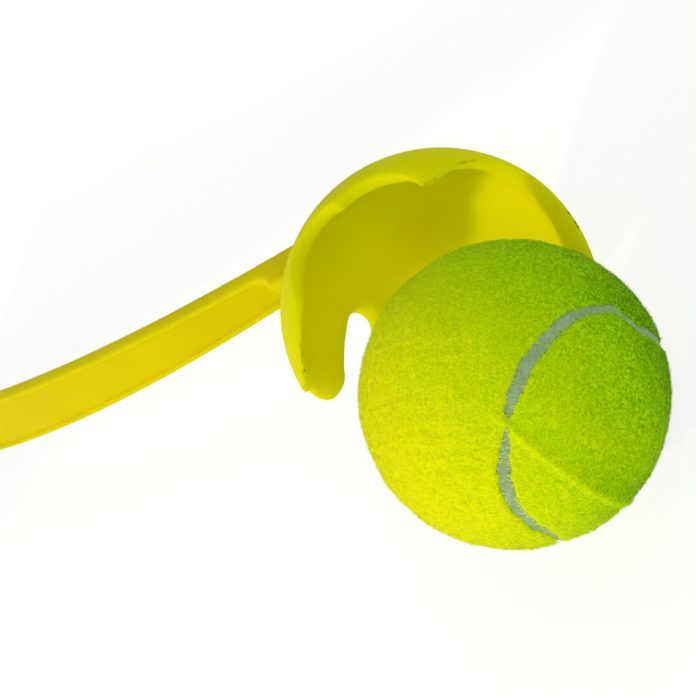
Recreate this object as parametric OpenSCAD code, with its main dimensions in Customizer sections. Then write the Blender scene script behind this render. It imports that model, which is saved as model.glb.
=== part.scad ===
// Dog ball launcher stick lying on its side, with its ball just out of the cup.
// The origin is the centre of the ball seat, X runs away from the grip, Z is up.

/* [Ball] */
// Diameter of the ball
ball_d = 65; // [62:0.5:68]
// Thickness of the felt cover
felt_t = 3; // [2.2:0.1:3.6]
// Wall of the hollow rubber core
core_t = 3.4; // [2.6:0.1:4.5]
// Thickness of the bond between the two core halves
bond_t = 0.4; // [0.3:0.05:0.8]
// Width of the seam between the felt panels
seam_w = 3.2; // [2.2:0.1:4.4]
// Depth of the seam below the felt
seam_sink = 0.6; // [0.3:0.1:1.2]
// How far the ball lies from its seat along the mouth
ball_out = 39.6; // [38:0.1:46]
// How far the ball lies below the middle plane of the cup
ball_drop = 3; // [1:0.1:3.6]

/* [Cup] */
// Clearance between ball and cup
cup_clear = 0.7; // [0.6:0.1:1.2]
// Wall of the cup
cup_wall = 3.7; // [3:0.1:4.6]
// Turn of the mouth away from the front
exit_turn = 44.3; // [40:0.1:50]
// Height of the line where the lip starts to flare, from the widest line
flare_start = -2; // [-3:0.1:-1]
// Angle of the lip flare to the mouth axis
flare_angle = 10; // [8:0.5:11]
// Depth of the front dip below the widest line
tip_dip = 5; // [2:0.1:8]
// Radius of the front dip
tip_dip_r = 25.5; // [22:0.1:27]
// Depth of the rear dip below the widest line
heel_dip = 12.6; // [11:0.1:14]
// Radius of the rear dip
heel_dip_r = 24; // [22:0.1:26]
// Depth of the side dips below the widest line
side_dip = 8; // [7:0.1:9]
// Radius of the side dips
side_dip_r = 12; // [11:0.1:13]
// Offset of the side dips towards the tip
side_shift = 1; // [0:0.1:2]
// Depth of the second side dips, nearer the tip
fore_dip = 4.5; // [3:0.1:5.5]
// Radius of the second side dips
fore_dip_r = 12.2; // [11.5:0.1:13]
// Offset of the second side dips towards the tip
fore_shift = 12.2; // [11:0.1:13]
// Radius of the rear petal outline
petal_r = 25.2; // [23:0.1:28]
// Top of the rear petal outline above the widest line
petal_top = 13.5; // [10:0.1:15]
// Distance of the rear petal outline behind the cup centre
petal_back = 31.4; // [29:0.1:34]
// Width of the drain slot near its closed end
slot_w = 8.8; // [7:0.1:10]
// Distance of the slot end behind the cup centre
slot_in = 14.9; // [12:0.1:17]
// Slope of the slot end
slot_tilt = 28; // [20:0.5:36]
// Lean of the slot sides, which narrow towards the rim
slot_lean = 6; // [0:0.5:8]
// Height above the closed end at which the slot sides stop narrowing
slot_run = 19.4; // [18:0.2:22]
// Radius of the prongs beside the slot mouth
prong_r = 10.7; // [8:0.1:12]

/* [Shaft] */
// Radius of the bow of the shaft
arc_r = 1530; // [1300:10:1900]
// Lowest point of the bow behind the cup
arc_x = 111.5; // [100:0.5:124]
// Depth of the shaft front inside the back of the cup
shaft_set = 3.5; // [2:0.1:5]
// Thickness of the shaft
shaft_t = 5.8; // [5:0.1:7]
// Width of the shaft at the cup
shaft_w_cup = 12.6; // [12:0.1:15]
// Width of the shaft at the grip
shaft_w_grip = 35; // [30:0.1:35.5]
// Distance from the cup to the grip
grip_x = 352; // [320:1:440]
// Depth of the channel in the shaft front
channel_d = 1.6; // [0.8:0.1:2.4]
// Width of the rims beside the channel
channel_rim = 1.8; // [1.4:0.1:2.6]
// Distance from the cup to the near end of the channel
channel_x = 84; // [78:0.5:100]
// Distance from the far end of the channel to the grip
channel_end = 16; // [10:1:30]
// Radius of the fillet where the neck thickens
neck_fillet = 12; // [10.5:0.1:14]
// Length of that fillet along the shaft
neck_run = 10; // [8:0.1:10.4]
// Distance from the cup to the start of that fillet
neck_x = 86; // [80:0.5:96]

/* [Grip] */
// Length of the grip sleeve
grip_len = 108; // [96:1:130]
// Width of the grip sleeve
grip_w = 35; // [34:0.5:38]
// Depth of the grip sleeve
grip_h = 23; // [21:0.5:25]
// How far the collar stands out
collar_out = 2; // [1:0.1:3]
// Length of the collar
collar_len = 8; // [6:0.5:12]
// Width of the tang in the sleeve
tang_w = 24; // [20:0.5:25]
// Thickness of the tang
tang_t = 5; // [4:0.1:5]
// Solid end of the sleeve behind the tang
tang_stop = 16; // [14:1:30]
// Clearance round the tang and the spigot
fit_gap = 0.08; // [0.05:0.01:0.2]
// Number of finger grooves
groove_n = 4; // [3:1:4]
// Radius of a finger groove
groove_r = 14; // [11:0.5:18]
// Depth of a finger groove
groove_d = 2.5; // [1.5:0.1:3.5]
// Distance between finger grooves
groove_pitch = 22; // [20:0.5:23]

/* [End cap] */
// Length of the end cap
cap_len = 26; // [25:0.5:34]
// How far the spigot enters the cap
spigot_len = 9; // [7:0.5:9.5]
// Wall of the cap round the spigot
cap_wall = 4; // [3:0.1:5]
// Radius of the hang hole
hang_r = 3.5; // [2.5:0.1:4]
// Distance of the hang hole from the sleeve
hang_x = 15.5; // [15:0.1:16.5]

/* [Hidden] */
$fn = 96;
ball_r = ball_d / 2;
glue = 0.05;
core_r = ball_r - felt_t - glue;
cup_ri = ball_r + cup_clear;
cup_ro = cup_ri + cup_wall;
seam_half = asin(seam_w / 2 / ball_r);
seam_glue = asin(glue / ball_r);
ball_turn = [-118, -78.2, 1];
ball_pos = [ball_out * sin(exit_turn), -ball_out * cos(exit_turn), -ball_drop];
arc_y = cup_ro - shaft_set;
arc_cy = arc_y + arc_r;
mid_r = arc_r - shaft_t / 2;
grip_turn = asin((arc_x - grip_x) / mid_r);
grip_pos = [-arc_x + mid_r * sin(grip_turn), arc_cy - mid_r * cos(grip_turn), 0];
bowl_top = -cup_ro / 4;
lip_n = 10;
felt_n = 36;
waist_x = 60;
root_x = 4;
root_end = 48;
neck_arc_y = front_y(-neck_x) - neck_fillet + 0.02;
neck_front = neck_arc_y + sqrt(neck_fillet * neck_fillet - neck_run * neck_run);
collar_w = grip_w + 2 * collar_out;
collar_h = grip_h + 2 * collar_out;
tang_len = grip_len - tang_stop;
spigot_w = collar_w - 2 * cap_wall;
spigot_h = collar_h - 2 * cap_wall;

// Height of the front face of the bowed shaft
function front_y(x) = arc_cy - sqrt(pow(arc_r, 2) - pow(x + arc_x, 2));

// Height of the back face of the bowed shaft
function back_y(x) = arc_cy - sqrt(pow(arc_r - shaft_t, 2) - pow(x + arc_x, 2));

// Half width of the tapering shaft
function half_w(x) = shaft_w_cup / 2 + max(0, -x - waist_x) * (shaft_w_grip - shaft_w_cup) / 2 / (grip_x - waist_x);

// Moves a part built along the mouth axis into the cup
module in_cup() {
    rotate([0, 0, exit_turn]) rotate([90, 0, 0]) children();
}

// Moves a part built along the grip onto the end of the shaft
module on_grip() {
    translate(grip_pos) rotate([0, 0, grip_turn]) children();
}

// Round-ended outline, w across and h deep, swept along -X from x
module stadium(w, h, x, len) {
    translate([x, 0, 0]) rotate([0, -90, 0]) linear_extrude(height = len) union() {
        square([w - h, h], center = true);
        for (s = [-1, 1]) translate([s * (w - h) / 2, 0]) circle(d = h);
    }
}

// Outside of the cup: a round bowl, with a lip of narrow bands above it
module bowl() {
    step = (cup_ro / 2.6 - bowl_top) / lip_n;
    lip = [for (i = [0:lip_n]) [sqrt(pow(cup_ro, 2) - pow(bowl_top + i * step, 2)), bowl_top + i * step]];
    rotate_extrude() {
        intersection() {
            circle(r = cup_ro);
            translate([0, -2 * cup_ro]) square([2 * cup_ro, 2 * cup_ro + bowl_top]);
        }
        polygon(concat([[0, bowl_top - 1], [lip[0][0] - 1, bowl_top - 1]], lip, [[0, lip[lip_n][1]]]));
    }
}

// Hollow for the ball with its flared mouth
module cavity() {
    reach = 40;
    sphere(r = cup_ri);
    start = sqrt(cup_ri * cup_ri - flare_start * flare_start) + 0.05;
    rotate_extrude() polygon([
        [0, flare_start],
        [start, flare_start],
        [start + reach * tan(flare_angle), flare_start + reach],
        [0, flare_start + reach]
    ]);
}

// Dip at the tip or the heel of the rim, side is 1 for the tip and -1 for the heel
module end_dip(side, dip, r) {
    at = sqrt(cup_ri * cup_ri - dip * dip);
    translate([side * (at - r * sqrt(0.5)), 0, r * sqrt(0.5) - dip])
        rotate([0, side * 45, 0]) translate([0, 0, -3]) cylinder(r = r, h = 80);
}

// Outline of a round-bottomed dip that is open at the top, from wide behind its middle
module round_dip(shift, dip, r, wide) {
    translate([shift, r - dip]) circle(r = r);
    translate([shift - wide, r - dip]) square([wide + r, 40]);
}

// Dips at both sides of the rim, with the outline of the rear petals left standing
module side_dips() {
    rotate([90, 0, 0]) linear_extrude(height = 3 * cup_ro, center = true) difference() {
        union() {
            round_dip(side_shift, side_dip, side_dip_r, 30);
            round_dip(fore_shift, fore_dip, fore_dip_r, fore_shift);
        }
        translate([-petal_back, petal_top - petal_r]) circle(r = petal_r);
    }
}

// Round-ended drain slot in the heel of the cup, whose mouth opens between two rounded prongs
module slot() {
    slot_r = slot_w / 2;
    slot_top = slot_r - (slot_run - slot_r) * tan(slot_lean);
    past = slot_top - 3 * tan(slot_lean);
    edge = [for (a = [0:15:60]) [slot_run + prong_r * sin(a), slot_top - 0.3 + prong_r * (1 - cos(a))]];
    far = [slot_run + 30, edge[4][1]];
    translate([-slot_in, 0, -sqrt(cup_ri * cup_ri - slot_in * slot_in)]) rotate([0, -slot_tilt - 90, 0]) {
        translate([0, 0, -3]) linear_extrude(height = 50) {
            translate([slot_r, 0]) circle(r = slot_r);
            polygon([[slot_r, -slot_r], [slot_run + 3, -past], [slot_run + 3, past], [slot_r, slot_r]]);
        }
        translate([0, 0, -2]) linear_extrude(height = 45) polygon(concat(
            edge, [far, [far[0], -far[1]]], [for (i = [4:-1:0]) [edge[i][0], -edge[i][1]]]
        ));
    }
}

// Side view of shaft and neck
module shaft_profile() {
    intersection() {
        translate([-arc_x, arc_cy]) difference() {
            circle(r = arc_r, $fn = 1440);
            circle(r = arc_r - shaft_t, $fn = 1440);
        }
        translate([grip_pos[0], grip_pos[1]]) rotate(grip_turn) translate([0, -90]) square([2 * grip_x, 180]);
        translate([-2 * grip_x - root_end, 0]) square([2 * grip_x, 180]);
    }
    polygon([
        [neck_run - neck_x, neck_front],
        [4 - sqrt(cup_ri * cup_ri - neck_front * neck_front), neck_front],
        [-root_x, neck_front + 2],
        [-root_x, cup_ro - 0.4],
        [-root_end, back_y(-root_end)],
        [-waist_x, front_y(-waist_x) + 1],
        [neck_run - neck_x, front_y(neck_run - neck_x) + 1]
    ]);
    difference() {
        translate([-neck_x, neck_front]) square([neck_run + 0.5, front_y(-neck_x) - neck_front + shaft_t / 2]);
        translate([-neck_x, neck_arc_y]) circle(r = neck_fillet);
    }
}

// Front view of the shaft from x_near to x_far behind the cup, narrowing towards the cup
module shaft_outline(inset, x_near, x_far) {
    xs = x_near < waist_x ? [x_near, waist_x, x_far] : [x_near, x_far];
    polygon(concat(
        [for (x = xs) [-x, half_w(-x) - inset]],
        [for (i = [len(xs) - 1:-1:0]) [-xs[i], inset - half_w(-xs[i])]]
    ));
}

// Bowed shaft with its neck and the tang for the grip
module shaft() {
    intersection() {
        linear_extrude(height = 2 * shaft_w_grip, center = true) shaft_profile();
        rotate([90, 0, 0]) linear_extrude(height = 400, center = true) shaft_outline(0, 0, grip_x + 20);
    }
    on_grip() translate([-tang_len, -tang_t / 2, -tang_w / 2]) cube([tang_len + 3, tang_t, tang_w]);
}

// Shallow round-ended channel in the front face of the shaft
module channel() {
    near_r = half_w(-channel_x - shaft_w_cup / 2) - channel_rim;
    far_x = grip_x - channel_end;
    far_r = half_w(-far_x) - channel_rim;
    intersection() {
        translate([-arc_x, arc_cy, 0]) linear_extrude(height = 2 * shaft_w_grip, center = true) difference() {
            circle(r = arc_r + 20, $fn = 1440);
            circle(r = arc_r - channel_d, $fn = 1440);
        }
        rotate([90, 0, 0]) linear_extrude(height = 400, center = true) {
            shaft_outline(channel_rim, channel_x + near_r, far_x - far_r);
            translate([-channel_x - near_r, 0]) circle(r = half_w(-channel_x - near_r) - channel_rim);
            translate([far_r - far_x, 0]) circle(r = half_w(far_r - far_x) - channel_rim);
        }
    }
}

module throwing_arm() {
    color([0.86, 0.8, 0.02]) difference() {
        union() {
            in_cup() bowl();
            shaft();
        }
        in_cup() {
            cavity();
            end_dip(1, tip_dip, tip_dip_r);
            end_dip(-1, heel_dip, heel_dip_r);
            side_dips();
            slot();
        }
        channel();
    }
}

module grip_sleeve() {
    first = collar_len + (grip_len - collar_len - (groove_n - 1) * groove_pitch) / 2;
    bore_t = tang_t + 2 * fit_gap;
    bore_w = tang_w + 2 * fit_gap;
    color([0.12, 0.12, 0.13]) on_grip() difference() {
        union() {
            stadium(collar_w, collar_h, -glue, collar_len);
            stadium(grip_w, grip_h, -1, grip_len - 1);
            stadium(spigot_w, spigot_h, 2 - grip_len, spigot_len + 2);
        }
        translate([-tang_len - 0.5, -bore_t / 2, -bore_w / 2]) cube([tang_len + 2, bore_t, bore_w]);
        for (i = [0:groove_n - 1]) translate([-first - i * groove_pitch, groove_d - grip_h / 2 - groove_r, 0])
            cylinder(r = groove_r, h = 2 * grip_w, center = true);
    }
}

module end_cap() {
    end_r = collar_w / 2 + 2;
    end_x = end_r - grip_len - cap_len;
    color([0.16, 0.16, 0.17]) on_grip() difference() {
        intersection() {
            stadium(collar_w, collar_h, -grip_len - glue, cap_len - glue);
            union() {
                translate([end_x, 0, 0]) rotate([90, 0, 0]) cylinder(r = end_r, h = 2 * collar_h, center = true);
                translate([end_x, -collar_h, -collar_w]) cube([2 * cap_len, 2 * collar_h, 2 * collar_w]);
            }
        }
        stadium(spigot_w + 2 * fit_gap, spigot_h + 2 * fit_gap, 2 - grip_len, spigot_len + 2 + 2 * fit_gap);
        translate([-grip_len - hang_x, 0, 0]) rotate([90, 0, 0]) cylinder(r = hang_r, h = 2 * collar_h, center = true);
    }
}

// Moves a part built about the ball centre to where the ball lies
module in_ball() {
    translate(ball_pos) rotate(ball_turn) children();
}

// Half of space on the +X side, or on the -X side
module half_space(side) {
    translate([side * ball_d, 0, 0]) cube(2 * ball_d, center = true);
}

// Pair of cones about Y on the +X side, or about Z on the -X side, with the seam between them
module seam_cones(side, angle) {
    intersection() {
        half_space(side);
        for (s = [-1, 1]) rotate([side > 0 ? 90 * s : 90 * (s + 1), 0, 0]) translate([0, 0, 5])
            cylinder(r1 = 5 * tan(angle), r2 = (ball_d + 5) * tan(angle), h = ball_d);
    }
}

// Shell of the felt cover in narrow bands
module felt_shell() {
    turn = 180 / felt_n;
    outer = [for (i = [0:felt_n]) ball_r * [sin(i * turn), cos(i * turn)]];
    inner = [for (i = [felt_n:-1:0]) (ball_r - felt_t) * [sin(i * turn), cos(i * turn)]];
    rotate([0, 90, 0]) rotate_extrude() polygon(concat(outer, inner));
}

// Felt panel bounded by the seam, a dumb-bell wrapped round the ball
module felt_panel() {
    difference() {
        felt_shell();
        seam_cones(1, 45 + seam_half);
        difference() {
            half_space(-1);
            seam_cones(-1, 45 - seam_half);
        }
    }
}

module felt_panel_a() {
    color([0.74, 0.88, 0.05]) in_ball() felt_panel();
}

module felt_panel_b() {
    color([0.7, 0.86, 0.05]) in_ball() rotate(180, [0, 1, 1]) felt_panel();
}

// Half ring of the seam about Y on the +X side
module seam_half_ring() {
    half = seam_half - seam_glue;
    outer = [for (a = [45 - half, 45, 45 + half]) (ball_r - seam_sink) * [sin(a), cos(a)]];
    inner = [for (a = [45 + half, 45, 45 - half]) (ball_r - felt_t) * [sin(a), cos(a)]];
    rotate(-120, [1, 1, 1]) rotate_extrude(angle = 180) polygon(concat(outer, inner));
}

module seam_cement() {
    color([0.6, 0.66, 0.62]) in_ball() for (side = [0, 1], end = [0, 1])
        rotate(180 * side, [0, 1, 1]) rotate([180 * end, 0, 0]) seam_half_ring();
}

// Half of the hollow core on the +X side, or on the -X side
module core_half(side) {
    color([0.3, 0.28, 0.26]) in_ball() difference() {
        sphere(r = core_r);
        sphere(r = core_r - core_t);
        translate([side * (bond_t / 2 + glue - ball_d), 0, 0]) cube(2 * ball_d, center = true);
    }
}

module core_half_a() {
    core_half(1);
}

module core_half_b() {
    core_half(-1);
}

module core_bond() {
    color([0.45, 0.4, 0.3]) in_ball() rotate([0, 90, 0]) difference() {
        cylinder(r = core_r, h = bond_t, center = true);
        cylinder(r = core_r - core_t, h = 2 * bond_t, center = true);
    }
}

throwing_arm();
grip_sleeve();
end_cap();
core_half_a();
core_half_b();
core_bond();
felt_panel_a();
felt_panel_b();
seam_cement();
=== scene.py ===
# %% [markdown]
# # A dog ball launcher and its ball
# The launcher lies on its side with the felt ball just out of the cup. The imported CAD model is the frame: it gives
# the bodies and the sizes, and the pieces made here take the place of its plain solids. Lengths below are in
# millimetres, as a maker would write them, and become metres only when a mesh is made.

import bpy
import numpy as np
from mathutils import Matrix, Vector


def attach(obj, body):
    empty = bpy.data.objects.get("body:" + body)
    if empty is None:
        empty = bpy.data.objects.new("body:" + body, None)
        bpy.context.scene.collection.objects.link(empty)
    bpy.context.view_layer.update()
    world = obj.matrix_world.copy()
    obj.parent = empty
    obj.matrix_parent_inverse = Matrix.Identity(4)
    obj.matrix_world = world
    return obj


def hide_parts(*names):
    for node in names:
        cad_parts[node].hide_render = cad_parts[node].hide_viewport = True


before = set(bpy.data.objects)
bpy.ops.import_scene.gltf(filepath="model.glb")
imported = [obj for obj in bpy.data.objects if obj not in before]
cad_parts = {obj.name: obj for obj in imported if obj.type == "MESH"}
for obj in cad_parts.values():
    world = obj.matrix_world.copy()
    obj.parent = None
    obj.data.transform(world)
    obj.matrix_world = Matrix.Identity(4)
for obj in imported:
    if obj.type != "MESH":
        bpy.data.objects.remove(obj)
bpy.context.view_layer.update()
MM = 0.001

# %% [markdown]
# ## Camera
# The photograph was taken from the front right and above, with the camera rolled so that the shaft climbs to the
# right. The three axes and the place of the camera were worked out from the round outlines of ball and cup, so they
# are written down here as numbers instead of being aimed at a target.

# %% Camera
FOCAL_PX, IMAGE_PX, SENSOR_MM = 1500.0, 696.0, 36.0
camera_axes = np.array([[0.5614, 0.2700, 0.7823], [0.1622, 0.8910, -0.4240], [-0.8115, 0.3649, 0.4564]])
cup_from_camera = np.array([21.24, 9.14, -346.53])

axes, _, other = np.linalg.svd(camera_axes)
camera_axes = axes @ other
camera_place = -camera_axes @ cup_from_camera
cam = bpy.data.objects.new("camera", bpy.data.cameras.new("camera"))
bpy.context.collection.objects.link(cam)
cam.data.sensor_width = SENSOR_MM
cam.data.lens = SENSOR_MM * FOCAL_PX / IMAGE_PX
cam.data.clip_start, cam.data.clip_end = 0.01, 20.0
pose = Matrix.Identity(4)
for row in range(3):
    pose[row][:3] = camera_axes[row]
    pose[row][3] = camera_place[row] * MM
cam.matrix_world = pose
bpy.context.scene.camera = cam
print("camera at", np.round(camera_place, 1), "mm, lens", round(cam.data.lens, 1))

# %% [markdown]
# ## Sizes
# These repeat the named sizes of the CAD model: the ball, the cup round it, the bowed shaft and the grip. The radii in
# the second block are the softened edges, which only the visual model has.

# %% Sizes in millimetres
BALL_R, FELT_T, BALL_OUT, BALL_DROP = 32.5, 3.0, 39.6, 3.0
CUP_IN, CUP_OUT = 33.2, 36.9
EXIT = np.radians(44.3)
TIP_DIP, TIP_R, HEEL_DIP, HEEL_R = 5.0, 25.5, 12.6, 24.0
SIDE_DIP, SIDE_R, SIDE_SHIFT = 8.0, 12.0, 1.0
FORE_DIP, FORE_R, FORE_SHIFT = 4.5, 12.2, 12.2
PETAL_R, PETAL_TOP, PETAL_BACK = 25.2, 13.5, 31.4
SLOT_R, SLOT_IN, SLOT_TILT, SLOT_LEAN, SLOT_RUN = 4.4, 14.9, np.radians(28), np.radians(6), 19.4
SLOT_TOP, PRONG_R = SLOT_R - (SLOT_RUN - SLOT_R) * np.tan(SLOT_LEAN), 10.7
FLARE_START, FLARE = -2.0, np.radians(10)
ARC_R, ARC_X, ARC_Y = 1530.0, 111.5, CUP_OUT - 3.5
SHAFT_T, SHAFT_W_CUP, SHAFT_W_GRIP, GRIP_X, WAIST_X = 5.8, 12.6, 35.0, 352.0, 60.0
CHANNEL_D, CHANNEL_RIM, CHANNEL_X, CHANNEL_END = 1.6, 1.8, 84.0, 16.0
NECK_X, NECK_RUN, NECK_FILLET, ROOT_END, ROOT_TOP, ROOT_SINK = 86.0, 10.0, 12.0, 48.0, 4.0, 0.4
SHAFT_INTO_CUP, SHAFT_INTO_GRIP, CUT_BACK, SIDE_REACH = 4.0, 4.0, 3.0, 30.0

PETAL_SOFT, SLOT_SOFT, HEEL_SOFT, TIP_SOFT, PRONG_CURVE = 3.0, 1.5, 5.0, 0.8, 0.32
CUP_FILLET, CAVITY_SOFT, RIM_SOFT, SHAFT_SOFT = 3.0, 0.8, 0.9, 1.3
CHANNEL_CORNER, CHANNEL_FILLET, CHANNEL_SOFT = 4.0, 0.7, 0.5

ball_place = np.array([BALL_OUT * np.sin(EXIT), -BALL_OUT * np.cos(EXIT), -BALL_DROP])
grip_turn = np.arcsin((ARC_X - GRIP_X) / (ARC_R - SHAFT_T / 2))
grip_place = np.array([
    -ARC_X + (ARC_R - SHAFT_T / 2) * np.sin(grip_turn),
    ARC_Y + ARC_R - (ARC_R - SHAFT_T / 2) * np.cos(grip_turn),
])
print("ball", np.round(ball_place, 2), "grip", np.round(grip_place, 2), "turn", round(np.degrees(grip_turn), 2))

# %% [markdown]
# ## From arrays to a mesh
# Every piece below ends as one array of corners and one of faces. This helper puts them into a mesh in one go, with
# the piece at the origin and its place in its corners, and lets the piece ride on its body.

# %% Mesh helper
def make_piece(name, corners_mm, faces, material, body, replaced=(), shade=None):
    """A smooth-shaded mesh from an n by 3 array in millimetres and an array of faces with 4 corners each. A shade is a
    value per corner that its material can read."""
    mesh = bpy.data.meshes.new(name)
    mesh.from_pydata(np.asarray(corners_mm, float) * MM, [], np.asarray(faces).tolist())
    mesh.polygons.foreach_set("use_smooth", np.ones(len(mesh.polygons), bool))
    mesh.materials.append(material)
    if shade is not None:
        mesh.attributes.new("shade", "FLOAT", "POINT").data.foreach_set("value", shade.astype(np.float32))
    mesh.update()
    piece = bpy.data.objects.new(name, mesh)
    bpy.context.collection.objects.link(piece)
    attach(piece, body)
    if replaced:
        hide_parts(*replaced)
    print(name, len(corners_mm), "corners", len(faces), "faces")
    return piece


# %% [markdown]
# ## Shader maths as expressions
# A finish is easier to read as a formula than as a net of nodes. A Value wraps one socket, its operators add Math
# nodes, and a Finish adds any other node by type.

# %% Shader helper
class Value:
    """A socket that can be added, subtracted and multiplied; each operation adds one Math node."""

    def __init__(self, finish, socket):
        self.finish, self.socket = finish, socket

    def _math(self, operation, a, b):
        return self.finish.add("Math", dict(operation=operation), {0: a, 1: b})

    def __add__(self, other):
        return self._math("ADD", self, other)

    def __sub__(self, other):
        return self._math("SUBTRACT", self, other)

    def __rsub__(self, other):
        return self._math("SUBTRACT", other, self)

    def __mul__(self, other):
        return self._math("MULTIPLY", self, other)

    __radd__, __rmul__ = __add__, __mul__


class Finish:
    """A material with one Principled shader. add() makes a node from its type, its settings and its inputs."""

    def __init__(self, name, **sockets):
        self.material = bpy.data.materials.new(name)
        self.material.use_nodes = True
        self.tree = self.material.node_tree
        self.shader = self.tree.nodes["Principled BSDF"]
        for key, value in sockets.items():
            self.shader.inputs[key.replace("_", " ")].default_value = value
        self.at = self.add("TexCoord", out="Object")

    def add(self, kind, settings=(), inputs=(), out=0):
        node = self.tree.nodes.new("ShaderNode" + kind)
        for key, value in dict(settings).items():
            if key == "stops":
                ramp = node.color_ramp
                while len(ramp.elements) < len(value):
                    ramp.elements.new(0.5)
                for element, (place, colour) in zip(ramp.elements, value):
                    element.position, element.color = place, (*colour, 1.0)
            else:
                setattr(node, key, value)
        for key, value in dict(inputs).items():
            if isinstance(value, Value):
                self.tree.links.new(value.socket, node.inputs[key])
            else:
                node.inputs[key].default_value = value
        return Value(self, node.outputs[out])

    def feed(self, socket, value):
        self.tree.links.new(value.socket, self.shader.inputs[socket])

    def noise(self, scale, detail=2.0, roughness=0.5):
        inputs = {"Vector": self.at, "Scale": scale, "Detail": detail, "Roughness": roughness}
        return self.add("TexNoise", {}, inputs)

    def ramp(self, value, *stops):
        return self.add("ValToRGB", dict(stops=stops), {"Fac": value})

    def bump(self, height, distance, strength=1.0):
        self.feed("Normal", self.add("Bump", {}, {"Height": height, "Distance": distance, "Strength": strength}))


def srgb(red, green, blue):
    """Linear colour from 8-bit screen values."""
    c = np.array([red, green, blue]) / 255
    return tuple(np.where(c <= 0.04045, c / 12.92, ((c + 0.055) / 1.055) ** 2.4).tolist())


# %% [markdown]
# ## Yellow plastic
# The arm is one moulding of soft polypropylene. Light goes a little way into it, so its shadows stay yellow, and it has
# hardly any gloss. The thick shaft is deeper and warmer in colour than the thin cup. The cup is also painted lighter,
# partly as painted light that stands in for light shining through its thin walls and gathering inside it. A faint
# cloud in the colour and a fine flow ripple keep it from looking like paint.

# %% Yellow plastic finish
plastic = Finish("yellow_plastic", Roughness=0.5, Subsurface_Weight=1.0, Subsurface_Scale=0.01, IOR=1.49)
plastic.shader.inputs["Subsurface Radius"].default_value = (1.0, 0.9, 0.05)
plastic.shader.inputs["Specular IOR Level"].default_value = 0.01
# Colour runs from the deeper shaft to the lighter cup: partly the tone of thick plastic, partly painted light on the
# thin cup.
DEEP_SHAFT_X, THIN_LIT_CUP_X = -50.0, -30.0
per_metre = 1 / ((THIN_LIT_CUP_X - DEEP_SHAFT_X) * MM)
from_cup = plastic.add("SeparateXYZ", (), {0: plastic.at}, "X")
thin_and_painted_light = plastic.add("Math", dict(operation="MULTIPLY_ADD", use_clamp=True),
                   {0: from_cup, 1: per_metre, 2: -DEEP_SHAFT_X * MM * per_metre})
plastic.feed("Base Color", plastic.ramp(
    0.6 * thin_and_painted_light + 0.4 * plastic.noise(22.0, 3.0),
    (0.12, srgb(210, 196, 0)), (0.28, srgb(218, 204, 0)), (0.72, srgb(232, 226, 0)), (0.88, srgb(238, 232, 0))))
plastic.feed("Roughness", 0.42 + 0.14 * plastic.noise(140.0, 4.0))
plastic.bump(plastic.noise(260.0, 2.0), 0.00005)
print("yellow plastic", len(plastic.tree.nodes), "nodes")

# %% [markdown]
# ## Throwing arm
# The real arm is one moulding: a ball cup whose rim runs in dips and petals, a neck, and a bowed shaft. No single
# grid of two parameters follows the rim, the slot and the neck at once. So the arm is written as a distance field, a
# formula that is negative inside the plastic. Solids are joined and cut as in the CAD model, but each join is a fillet.

# %% Joining fields with fillets
def both(a, b, r):
    """Inside a and inside b, with the outer edge rounded to radius r."""
    return np.minimum(-r, np.maximum(a, b)) + np.hypot(np.maximum(a + r, 0), np.maximum(b + r, 0))


def either(a, b, r):
    """Inside a or inside b, with the inner corner filled to radius r."""
    return np.maximum(r, np.minimum(a, b)) - np.hypot(np.maximum(r - a, 0), np.maximum(r - b, 0))


# %% Rim of the cup
def rim_field(d, e, z):
    """Outline of the petals in cup axes: d towards the tip, e out of the mouth, z across. It is negative where plastic
    stays and positive in a dip or the slot. The tip and heel dips are round bars lying at 45 degrees, each side has two
    round dips less the petal circle, and the slot is a round-ended bar that opens between two rounded prongs."""
    def end_dip(side, dip, r):
        at = np.sqrt(CUP_IN**2 - dip**2)
        u, w = side * d - (at - r * np.sqrt(0.5)), e - (r * np.sqrt(0.5) - dip)
        along, off = (u + w) * np.sqrt(0.5), (w - u) * np.sqrt(0.5)
        return np.minimum(r - np.hypot(off, z), along + CUT_BACK)

    def round_dip(shift, dip, r, wide):
        circle = r - np.hypot(d - shift, e - r + dip)
        return np.maximum(circle, np.minimum(e - r + dip, np.minimum(shift + r - d, d - shift + wide)))

    dips = np.maximum(
        round_dip(SIDE_SHIFT, SIDE_DIP, SIDE_R, SIDE_REACH), round_dip(FORE_SHIFT, FORE_DIP, FORE_R, FORE_R))
    petal = np.hypot(d + PETAL_BACK, e - PETAL_TOP + PETAL_R) - PETAL_R
    side = -both(-dips, -petal, PETAL_SOFT)
    u, w = -(d + SLOT_IN), e + np.sqrt(CUP_IN**2 - SLOT_IN**2)
    along = u * np.cos(SLOT_TILT) - w * np.sin(SLOT_TILT)
    up = u * np.sin(SLOT_TILT) + w * np.cos(SLOT_TILT)
    lean = np.tan(SLOT_LEAN) * np.clip(up - SLOT_R, 0, SLOT_RUN - SLOT_R)
    round_end = SLOT_R - np.hypot(z, np.minimum(up - SLOT_R, 0)) - lean
    beside, above = SLOT_TOP + PRONG_R - np.abs(z), up - SLOT_RUN
    over = np.maximum(above - PRONG_CURVE * np.minimum(beside, 0) ** 2, 0)
    mouth = np.minimum(np.hypot(np.maximum(beside, 0), over) - PRONG_R, above)
    slot = np.minimum(np.maximum(round_end, mouth), along + CUT_BACK)
    heel = both(end_dip(-1, HEEL_DIP, HEEL_R), slot, SLOT_SOFT)
    return both(both(heel, side, HEEL_SOFT), end_dip(1, TIP_DIP, TIP_R), TIP_SOFT)


# %% Shaft and neck
def half_width(x):
    """Half width of the shaft, which widens evenly from the waist to the grip."""
    past_waist = np.maximum(0, -x - WAIST_X)
    return SHAFT_W_CUP / 2 + past_waist * (SHAFT_W_GRIP - SHAFT_W_CUP) / 2 / (GRIP_X - WAIST_X)


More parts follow.
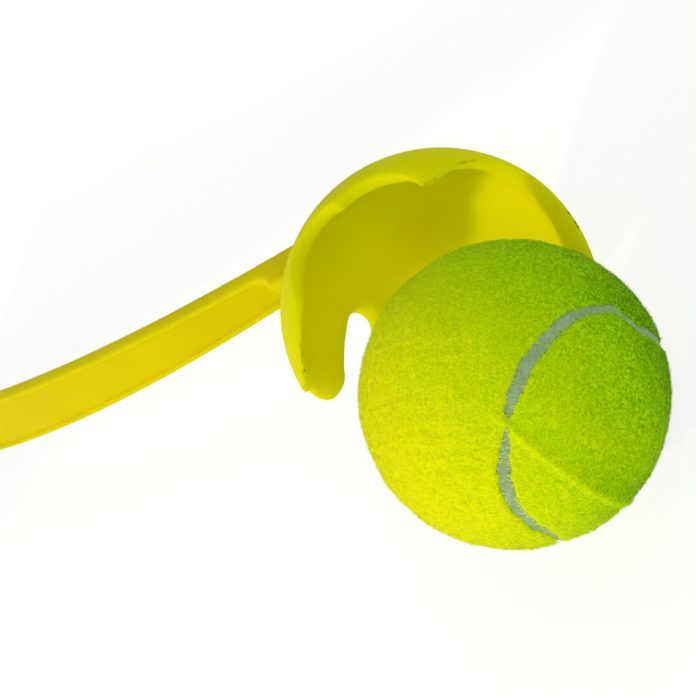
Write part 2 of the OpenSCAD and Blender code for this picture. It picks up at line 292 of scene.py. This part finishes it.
def shaft_field(x, y, z):
    """A bowed strip between two circles about the same far centre, with a neck that steps forward at the cup end and
    a shallow round-cornered channel in the front."""
    from_centre = np.hypot(x + ARC_X, y - ARC_Y - ARC_R)
    run = np.clip(x + NECK_X, 0, NECK_RUN)
    step = NECK_FILLET - np.sqrt(NECK_FILLET**2 - run**2)
    front = from_centre - ARC_R - step
    root = ARC_Y + ARC_R - np.sqrt((ARC_R - SHAFT_T) ** 2 - (ARC_X - ROOT_END) ** 2)
    rise = (CUP_OUT - ROOT_SINK - root) / (ROOT_END - ROOT_TOP)
    back = np.maximum(ARC_R - SHAFT_T - from_centre, y - root - rise * (x + ROOT_END))
    strip = both(np.maximum(front, back), np.abs(z) - half_width(x), SHAFT_SOFT)
    gx, gy = x - grip_place[0], y - grip_place[1]
    past_grip = -SHAFT_INTO_GRIP - gx * np.cos(grip_turn) - gy * np.sin(grip_turn)
    strip = np.maximum(np.maximum(strip, past_grip), x + SHAFT_INTO_CUP)
    ends = np.maximum(x + CHANNEL_X, CHANNEL_END - GRIP_X - x)
    outline = both(np.abs(z) - half_width(x) + CHANNEL_RIM, ends, CHANNEL_CORNER)
    channel = both(ARC_R - CHANNEL_D - from_centre, outline, CHANNEL_FILLET)
    return both(strip, -channel, CHANNEL_SOFT)


# %% Whole arm
def arm_field(x, y, z):
    """Ball joined to the shaft, hollowed by the cavity with its flared mouth, and trimmed along the rim."""
    d, e = x * np.cos(EXIT) + y * np.sin(EXIT), x * np.sin(EXIT) - y * np.cos(EXIT)
    radius = np.sqrt(x * x + y * y + z * z)
    body = either(radius - CUP_OUT, shaft_field(x, y, z), CUP_FILLET)
    start = np.sqrt(CUP_IN**2 - FLARE_START**2)
    mouth = (np.hypot(d, z) - start - (e - FLARE_START) * np.tan(FLARE)) * np.cos(FLARE)
    cavity = np.minimum(radius - CUP_IN, np.maximum(mouth, FLARE_START - e))
    return both(both(body, -cavity, CAVITY_SOFT), rim_field(d, e, z), RIM_SOFT)


# %% [markdown]
# A field becomes a mesh by surface nets: each small box of space whose corners lie on both sides of the surface gets
# one mesh corner, and boxes round a crossed edge share a face. Each corner then slides down the field's slope until it
# lies on the surface, so the result is as smooth as the formula.

# %% Surface nets
SLICES, LONGEST_MOVE = 24, 0.25


def surface_net(field, low, high, step):
    """Quads on the zero surface of a field over a box. The boxes are handled all at once; only the field itself is
    worked out in slices, to save memory."""
    counts = np.ceil((np.array(high) - low) / step).astype(int) + 1
    line = [low[i] + step * np.arange(counts[i]) for i in range(3)]
    values = np.concatenate([
        field(part[:, None, None], line[1][None, :, None], line[2][None, None, :])
        for part in np.array_split(line[0], SLICES)
    ]).astype(np.float32)
    inside = values < 0
    corners = np.array([(i, j, k) for i in (0, 1) for j in (0, 1) for k in (0, 1)])
    shifted = lambda a, c: a[tuple(slice(s, n - 1 + s) for s, n in zip(c, a.shape))]
    total = sum(shifted(inside, c).astype(np.int8) for c in corners)
    cells = np.argwhere((total > 0) & (total < 8))
    number = np.full(total.shape, -1)
    number[tuple(cells.T)] = np.arange(len(cells))
    summed, crossed = np.zeros((len(cells), 3)), np.zeros((len(cells), 1))
    for a in corners:
        for axis in np.flatnonzero(a == 0):
            b = a.copy()
            b[axis] = 1
            va, vb = values[tuple((cells + a).T)], values[tuple((cells + b).T)]
            cut = ((va < 0) != (vb < 0))[:, None]
            share = (va / np.where(va == vb, 1, va - vb))[:, None]
            summed += np.where(cut, a + share * (b - a), 0)
            crossed += cut
    points = np.array(low) + step * (cells + summed / crossed)
    quads = []
    for axis, (p, q) in enumerate([(1, 2), (2, 0), (0, 1)]):
        ahead = [slice(None)] * 3
        behind = [slice(None)] * 3
        ahead[axis], behind[axis] = slice(1, None), slice(None, -1)
        change = inside[tuple(behind)].astype(np.int8) - inside[tuple(ahead)]
        at = np.argwhere(change != 0)
        sign = change[tuple(at.T)]
        off = np.zeros((4, 3), int)
        off[[0, 1], p], off[[0, 3], q] = -1, -1
        ring = number[tuple((at[:, None, :] + off).transpose(2, 0, 1))]
        quads.append(np.where((sign > 0)[:, None], ring, ring[:, ::-1]))
    return points, np.concatenate(quads)


def slope(field, points, h=0.02):
    """Gradient of a field at points, by central differences."""
    moves = np.eye(3) * h
    return np.stack([field(*(points + m).T) - field(*(points - m).T) for m in moves], 1) / (2 * h)


def settle(field, points, rounds=4):
    """Slides points along the slope onto the surface: each round takes away field / slope^2 times the slope, but never
    moves a point further than the longest move."""
    for _ in range(rounds):
        g = slope(field, points)
        move = (field(*points.T) / np.maximum((g * g).sum(1), 0.05))[:, None] * g
        length = np.maximum(np.linalg.norm(move, axis=1), 1e-9)
        points = points - move * np.minimum(1, LONGEST_MOVE / length)[:, None]
    return points


# %% Throwing arm mesh
ARM_LOW, ARM_HIGH, ARM_STEP = (-358.0, -34.0, -38.0), (34.0, 64.0, 38.0), 0.76
points, quads = surface_net(arm_field, ARM_LOW, ARM_HIGH, ARM_STEP)
make_piece("arm", settle(arm_field, points), quads, plastic.material, "launcher", ["throwing_arm"])

# %% [markdown]
# ## Ball
# Two dumb-bell panels of felt lie round the ball with a sunken seam between them. In axes that turn with the ball the
# seam is easy to write: on one half it runs 45 degrees from the Y axis, on the other 45 degrees from the Z axis.

# %% Ball axes and seam
def turned(x_deg, y_deg, z_deg):
    """Rotation about X, then Y, then Z."""
    (cx, cy, cz), (sx, sy, sz) = (f(np.radians([x_deg, y_deg, z_deg])) for f in (np.cos, np.sin))
    about_x = np.array([[1, 0, 0], [0, cx, -sx], [0, sx, cx]])
    about_y = np.array([[cy, 0, sy], [0, 1, 0], [-sy, 0, cy]])
    about_z = np.array([[cz, -sz, 0], [sz, cz, 0], [0, 0, 1]])
    return about_z @ about_y @ about_x


ball_axes = turned(-118, -78.2, 1)
print("ball axes", np.round(ball_axes, 3).tolist())


def on_ball(points):
    """Points in ball axes, turned and moved to where the ball lies."""
    return points @ ball_axes.T + ball_place


def seam_angle(x, y, z):
    """Angle from the middle of the seam, above zero on one panel and below on the other: angle to Y less 45 degrees
    where x > 0, and 45 degrees less the angle to Z elsewhere."""
    r = np.sqrt(x * x + y * y + z * z) + 1e-9
    return np.where(x > 0, np.arccos(np.abs(y) / r) - np.pi / 4, np.pi / 4 - np.arccos(np.abs(z) / r))


# %% [markdown]
# The felt is thick and a little uneven. Its lumps are a sum of sine waves in seeded directions, its edges roll down
# into the seam, and a low crease crosses the seam where the cloth was pulled tight and closes over it. Hand-laid felt
# also makes the seam wander by up to two millimetres and change its width. Both are written down by the turn round the
# Y axis.

# %% Felt and seam shapes
rng = np.random.default_rng(11)
waves = rng.normal(size=(24, 3)) * np.repeat([0.25, 0.9, 2.2], 8)[:, None]
wave_size = np.repeat([0.06, 0.035, 0.03], 8)
wave_start = rng.uniform(0, 2 * np.pi, 24)
FELT_SINK, EDGE_OVER, EDGE_WAVE, EDGE_SOFT, CORE_GAP = 0.25, 0.3, 1.3, 0.8, 0.05
SEAM_SINK, SEAM_WAVE, SEAM_UNDER, SEAM_SOFT, PLAIN_HALF = 0.75, 0.8, 0.25, 0.4, 1.1
CREASE_Y, CREASE_Z, CREASE_H, CREASE_W = 0.359, 0.933, 0.6, 0.8
TURN = [-95, -60, -45, -35, -26, -23, -20, -17, -5, 25, 50, 70, 78, 88, 96, 125]
WANDER = [0, -0.3, -0.7, -1.3, -1.15, -1.0, -0.9, -0.7, -0.6, 0.1, 0.8, 0.95, -0.6, -1.7, -1.1, 0]
HALF_W = [1.2, 1.25, 1.35, 1.2, 1.0, 0.3, 0.45, 1.1, 1.35, 1.35, 1.2, 1.2, 1.15, 1.25, 1.3, 1.3]


def lumps(x, y, z):
    """Sum of a sin(k . p + s) over the seeded waves."""
    return sum(a * np.sin(k[0] * x + k[1] * y + k[2] * z + s) for a, k, s in zip(wave_size, waves, wave_start))


def seam_place(x, y, z):
    """Distance from the wandering middle of the seam, and its half width, on a ball of this radius."""
    r = np.sqrt(x * x + y * y + z * z)
    turn = np.where(y > 0, np.degrees(np.arctan2(z, x)), 180)
    off = seam_angle(x, y, z) * r - np.interp(turn, TURN, WANDER, 0, 0)
    return off, np.interp(turn, TURN, HALF_W, PLAIN_HALF, PLAIN_HALF)


def crease_place(x, y, z):
    """Distance from the line of the crease, and how strong the crease is there, from 0 to 1. It weakens to a fifth
    before x reaches 24, and is gone where y is below 15."""
    return CREASE_Y * y + CREASE_Z * z, np.clip((24 - x) / 5, 0.2, 1) * np.clip((y - 15) / 4, 0, 1)


def crease_painted_light(points):
    """Painted light and shade along the crease: a painted highlight on its ridge, 0.6 mm wide, and painted shade on
    the side behind it, 2.6 mm wide and 3.2 mm away."""
    away, strong = crease_place(*points.T)
    ridge, behind = np.exp(-((away / 0.6) ** 2)), np.exp(-(((away - 3.2) / 2.6) ** 2))
    return strong * (0.3 * ridge - 0.4 * behind)


def felt_field(side):
    """Shell of one panel with lumps and a crease exp(-(distance / width)^2) on its outside and a wavy, rounded edge."""
    def field(x, y, z):
        r = np.sqrt(x * x + y * y + z * z)
        uneven, (off, half), (away, strong) = lumps(x, y, z), seam_place(x, y, z), crease_place(x, y, z)
        crease = CREASE_H * strong * np.exp(-((away / CREASE_W) ** 2))
        shell = np.maximum(r - BALL_R + FELT_SINK - uneven - crease, BALL_R - FELT_T + CORE_GAP - r)
        return both(shell, half - EDGE_OVER + EDGE_WAVE * uneven - side * off, EDGE_SOFT)
    return field


def seam_field(x, y, z):
    """Band of cement that fills the gap between the panels, a little below the felt."""
    r = np.sqrt(x * x + y * y + z * z)
    off, half = seam_place(x, y, z)
    shell = np.maximum(r - BALL_R + SEAM_SINK - SEAM_WAVE * lumps(x, y, z), BALL_R - FELT_T + CORE_GAP - r)
    return both(shell, np.abs(off) - half - SEAM_UNDER, SEAM_SOFT)


# %% [markdown]
# Felt colour: fluorescent yellow fibres over a greener, shadier ground. Painted light and shade run across the ball:
# the side towards the key lamp is painted lighter and yellower, and the other side darker and greener. Strands of nap
# lie over the cloth; each is a strip of two quads that bends over, with its own shade.

# %% Felt finish
# Direction towards the key lamp: the felt is painted lighter and yellower towards it and darker and greener away from
# it.
PAINTED_LIGHT_SIDE = (-0.558, -0.575, 0.584)
SIDE_STOPS = (0.08, 0.22, 0.56, 0.9)


def felt_finish(name, ground, tips, own_shade):
    """Colours from the painted shaded, green side to the painted lit, yellow side for the ground and for the fibre
    tips.
    What mixes them is the strand's own shade, or a fine noise with the painted light and shade of the crease."""
    felt = Finish(name, Roughness=0.95, Sheen_Weight=0.25, Sheen_Roughness=0.4, Sheen_Tint=(0.85, 1.0, 0.1, 1.0))
    felt.shader.inputs["Specular IOR Level"].default_value = 0.02
    far = float(np.dot(PAINTED_LIGHT_SIDE, ball_place)) * MM
    along = felt.add("VectorMath", dict(operation="DOT_PRODUCT"), {0: felt.at, 1: PAINTED_LIGHT_SIDE}, "Value")
    # share runs from the painted shaded side to the painted lit side, with a random cloud on top.
    share = 0.5 + (along - far) * (0.5 / (BALL_R * MM)) + 0.25 * (felt.noise(60.0, 3.0) - 0.5)
    painted_light_sides = [felt.ramp(share, *zip(SIDE_STOPS, colours)) for colours in (ground, tips)]
    mix = felt.add("Attribute", dict(attribute_name="shade"), (), "Fac")
    if not own_shade:
        fine = felt.noise(1500.0, 3.0, 0.65)
        mix = felt.ramp(fine + 0.26 * mix, (0.36, (0, 0, 0)), (0.62, (1, 1, 1)))
        felt.bump(fine, 0.0005, 0.7)
    felt.feed("Base Color", felt.add("Mix", dict(data_type="RGBA"), {0: mix, 6: painted_light_sides[0], 7: painted_light_sides[1]}, 2))
    return felt


# Each list of colours goes from the painted shaded side to the painted lit side of the ball.
felt = felt_finish("ball_felt",
                   [srgb(52, 126, 0), srgb(96, 176, 0), srgb(188, 232, 0), srgb(234, 238, 0)],
                   [srgb(150, 228, 0), srgb(202, 255, 0), srgb(242, 255, 0), srgb(252, 255, 0)], False)
strands = felt_finish("felt_strands",
                      [srgb(80, 166, 0), srgb(126, 214, 0), srgb(210, 252, 0), srgb(242, 248, 0)],
                      [srgb(186, 238, 0), srgb(220, 255, 10), srgb(248, 255, 20), srgb(253, 255, 30)], True)
print("felt", len(felt.tree.nodes), "nodes, strands", len(strands.tree.nodes), "nodes")

# %% Felt panels and nap
STRANDS, STRAND_HALF, NAP_DEPTH, ROOT_SPREAD = 40000, (0.06, 0.055, 0.02), 0.9, 0.12
FELT_BOX, FELT_STEP = 33.4, 0.45
for side, letter in ((1, "a"), (-1, "b")):
    points, quads = surface_net(felt_field(side), (-FELT_BOX,) * 3, (FELT_BOX,) * 3, FELT_STEP)
    points = settle(felt_field(side), points, 3)
    # The felt's shade is the painted light and shade of the crease.
    make_piece("felt_" + letter, on_ball(points), quads, felt.material, "ball", ["felt_panel_" + letter],
               crease_painted_light(points))
    centres = points[quads].mean(1)
    outer = centres[np.linalg.norm(centres, axis=1) > BALL_R - NAP_DEPTH]
    roots = outer[rng.integers(len(outer), size=STRANDS)] + rng.normal(scale=ROOT_SPREAD, size=(STRANDS, 3))
    up = roots / np.linalg.norm(roots, axis=1)[:, None]
    along = np.cross(up, rng.normal(size=roots.shape))
    along /= np.linalg.norm(along, axis=1)[:, None]
    across = np.cross(up, along)
    reach, rise = rng.uniform(0.6, 1.4, (STRANDS, 1)), rng.uniform(0.05, 0.3, (STRANDS, 1))
    spine = [roots, roots + 0.5 * reach * along + rise * up, roots + reach * along + 0.6 * rise * up]
    rows = [spot + way * half * across for spot, half in zip(spine, STRAND_HALF) for way in (-1, 1)]
    first = len(rows) * np.arange(STRANDS)[:, None]
    faces = np.concatenate([first + [0, 1, 3, 2], first + [2, 3, 5, 4]])
    # A strand's shade is a random tone plus the painted light and shade of the crease at its root.
    shade = rng.uniform(size=STRANDS) + crease_painted_light(roots)
    make_piece("strands_" + letter, on_ball(np.stack(rows, 1).reshape(-1, 3)), faces, strands.material, "ball", (),
               np.repeat(shade, len(rows)))

# %% [markdown]
# The seam is a band of grey-green rubber cement, stained and finely cracked. The core under the felt keeps its CAD
# shape and is dark rubber.

# %% Seam and core
seam = Finish("seam_rubber", Roughness=0.75)
stain = seam.ramp(seam.noise(260.0, 4.0, 0.65), (0.3, srgb(144, 173, 129)), (0.7, srgb(177, 205, 159)))
crack = seam.ramp(seam.noise(1400.0, 3.0, 0.6), (0.3, (0, 0, 0)), (0.52, (1, 1, 1)))
crack_colour = (*srgb(136, 166, 118), 1)
seam.feed("Base Color", seam.add("Mix", dict(data_type="RGBA"), {0: crack, 6: crack_colour, 7: stain}, 2))
seam.bump(seam.noise(900.0, 3.0), 0.0002)
SEAM_BOX, SEAM_STEP = 32.6, 0.4
points, quads = surface_net(seam_field, (-SEAM_BOX,) * 3, (SEAM_BOX,) * 3, SEAM_STEP)
points = on_ball(settle(seam_field, points, 3))
make_piece("seam", points, quads, seam.material, "ball", ["seam_cement"])
core = Finish("core_rubber", Roughness=0.8)
core.feed("Base Color", core.ramp(core.noise(80.0), (0.35, (0.02, 0.018, 0.016)), (0.65, (0.05, 0.045, 0.04))))
for name in ("core_half_a", "core_half_b", "core_bond"):
    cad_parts[name].data.materials.clear()
    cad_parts[name].data.materials.append(core.material)
print("core painted")

# %% [markdown]
# ## Grip and end cap
# The grip lies outside the photograph, so it stays a plain soft sleeve in black rubber with a collar and finger
# grooves, closed by a cap with a hang hole. Both are fields again, in axes along the grip, so that every edge is soft.

# %% Grip finishes
rubber = Finish("grip_rubber", Roughness=0.7)
grain = rubber.noise(900.0, 3.0)
rubber.feed("Base Color", rubber.ramp(
    rubber.noise(60.0, 4.0), (0.3, (0.016, 0.016, 0.018)), (0.7, (0.03, 0.03, 0.033))))
rubber.feed("Roughness", 0.6 + 0.25 * grain)
rubber.bump(grain, 0.00015)
cap = Finish("cap_plastic", Roughness=0.5)
cap.feed("Base Color", cap.ramp(cap.noise(90.0, 3.0), (0.3, (0.035, 0.035, 0.038)), (0.7, (0.05, 0.05, 0.054))))
cap.bump(cap.noise(500.0), 0.00005)
print("rubber", len(rubber.tree.nodes), "nodes, cap", len(cap.tree.nodes), "nodes")


# %% Grip and cap shapes
GRIP_LEN, GRIP_W, GRIP_H, CAP_LEN = 108.0, 35.0, 23.0, 26.0
COLLAR_W, COLLAR_H, COLLAR_LEN = 39.0, 27.0, 8.0
GROOVE_X, GROOVE_R, GROOVE_D = -25.0 - 22.0 * np.arange(4), 14.0, 2.5
GROOVE_Y = GROOVE_D - GRIP_H / 2 - GROOVE_R
HANG_R, HANG_X, GAP = 3.5, 15.5, 0.1
SLEEVE_SOFT, COLLAR_SOFT, COLLAR_FILLET, GROOVE_SOFT, CAP_SOFT, HANG_SOFT = 0.6, 1.6, 1.5, 2.0, 2.5, 1.2


def bar(x, y, z, width, height, near, far, r):
    """Round-sided bar from x = near down to x = far, its ends rounded to r."""
    round_sides = np.hypot(np.maximum(np.abs(z) - (width - height) / 2, 0), y) - height / 2
    return both(round_sides, np.maximum(x - near, far - x), r)


def sleeve_field(x, y, z):
    """Sleeve joined to its collar, less the finger grooves."""
    sleeve = bar(x, y, z, GRIP_W, GRIP_H, -1.0, -GRIP_LEN + GAP, SLEEVE_SOFT)
    collar = bar(x, y, z, COLLAR_W, COLLAR_H, -GAP, -COLLAR_LEN, COLLAR_SOFT)
    field = either(sleeve, collar, COLLAR_FILLET)
    for middle in GROOVE_X:
        field = both(field, GROOVE_R - np.hypot(x - middle, y - GROOVE_Y), GROOVE_SOFT)
    return field


def cap_field(x, y, z):
    """Cap with a round end, less the hang hole."""
    end_r = COLLAR_W / 2 + 2
    block = bar(x, y, z, COLLAR_W, COLLAR_H, -GRIP_LEN - GAP, -GRIP_LEN - CAP_LEN + 2 * GAP, CAP_SOFT)
    end = np.hypot(np.minimum(x + GRIP_LEN + CAP_LEN - 2 * GAP - end_r, 0), z) - end_r
    return both(both(block, end, CAP_SOFT), HANG_R - np.hypot(x + GRIP_LEN + HANG_X, z), HANG_SOFT)


# %% Grip and cap meshes
GRIP_STEP = 0.6


def make_grip_piece(name, field, near, far, finish, node):
    """Mesh of a field in grip axes, turned and moved to the end of the shaft."""
    points, quads = surface_net(field, (far, -15.0, -21.0), (near, 15.0, 21.0), GRIP_STEP)
    x, y, z = settle(field, points).T
    along, across = (np.cos(grip_turn), np.sin(grip_turn)), (-np.sin(grip_turn), np.cos(grip_turn))
    placed = [grip_place[i] + along[i] * x + across[i] * y for i in (0, 1)]
    make_piece(name, np.stack([*placed, z], 1), quads, finish.material, "launcher", [node])


make_grip_piece("sleeve", sleeve_field, 1.0, -110.0, rubber, "grip_sleeve")
make_grip_piece("cap", cap_field, -106.0, -136.0, cap, "end_cap")

# %% [markdown]
# ## Floor and light
# One warm key stands low on the left of the picture. It is small, so the ball throws a clear shadow on the right of the
# cup's inside. A weak fill stands at the camera, under an even sky. To the camera, and to rays that are mirrored or
# passed on, floor and sky are white; the floor still takes shadows.

# %% Floor and lamps
FLOOR_Z, FLOOR_HALF = -CUP_OUT, 6000.0
floor_finish = Finish("floor_white", Roughness=0.9, Emission_Strength=1.0)
seen = [floor_finish.add("LightPath", out=f"Is {kind} Ray") for kind in ("Camera", "Glossy", "Transmission")]
seen = seen[0] + seen[1] + seen[2]
floor_finish.feed("Base Color", floor_finish.ramp(seen, (0, (0.9,) * 3), (1, (0.25,) * 3)))
floor_finish.feed("Emission Color", floor_finish.ramp(seen, (0, (0,) * 3), (1, (0.82,) * 3)))
floor = bpy.data.meshes.new("floor")
corners = np.array([(x * FLOOR_HALF, y * FLOOR_HALF, FLOOR_Z) for x, y in ((-1, -1), (1, -1), (1, 1), (-1, 1))])
floor.from_pydata(corners * MM, [], [(0, 1, 2, 3)])
floor.materials.append(floor_finish.material)
floor = bpy.data.objects.new("floor", floor)
bpy.context.collection.objects.link(floor)


def lamp(name, place_mm, size_mm, watts, colour):
    """A square soft box that faces the cup."""
    data = bpy.data.lights.new(name, "AREA")
    data.size, data.energy, data.color = size_mm * MM, watts, colour
    box = bpy.data.objects.new(name, data)
    bpy.context.collection.objects.link(box)
    box.location = np.array(place_mm) * MM
    box.rotation_euler = Vector((-np.array(place_mm, float)).tolist()).to_track_quat("-Z", "Y").to_euler()


lamp("key", (-816, -1690, 687), 100, 17.5, (1.0, 0.83, 0.58))
lamp("fill", (1108, -684, 742), 700, 3.5, (0.96, 1.0, 0.96))
world = bpy.data.worlds.new("world")
bpy.context.scene.world = world
world.use_nodes = True
SKY, WHITE = 0.46, 1.0
nodes, links = world.node_tree.nodes, world.node_tree.links
sky, ray, level = nodes["Background"], nodes.new("ShaderNodeLightPath"), nodes.new("ShaderNodeMapRange")
sky.inputs["Color"].default_value = (0.95, 1, 0.96, 1)
level.inputs["To Min"].default_value, level.inputs["To Max"].default_value = SKY, WHITE
seen = ray.outputs["Is Camera Ray"]
for kind in ("Is Glossy Ray", "Is Transmission Ray"):
    add = nodes.new("ShaderNodeMath")
    links.new(seen, add.inputs[0])
    links.new(ray.outputs[kind], add.inputs[1])
    seen = add.outputs[0]
links.new(seen, level.inputs["Value"])
links.new(level.outputs["Result"], sky.inputs["Strength"])
bpy.context.scene.view_settings.view_transform = "Standard"
print("floor at", FLOOR_Z, "mm, lamps", sorted(light.name for light in bpy.data.lights))
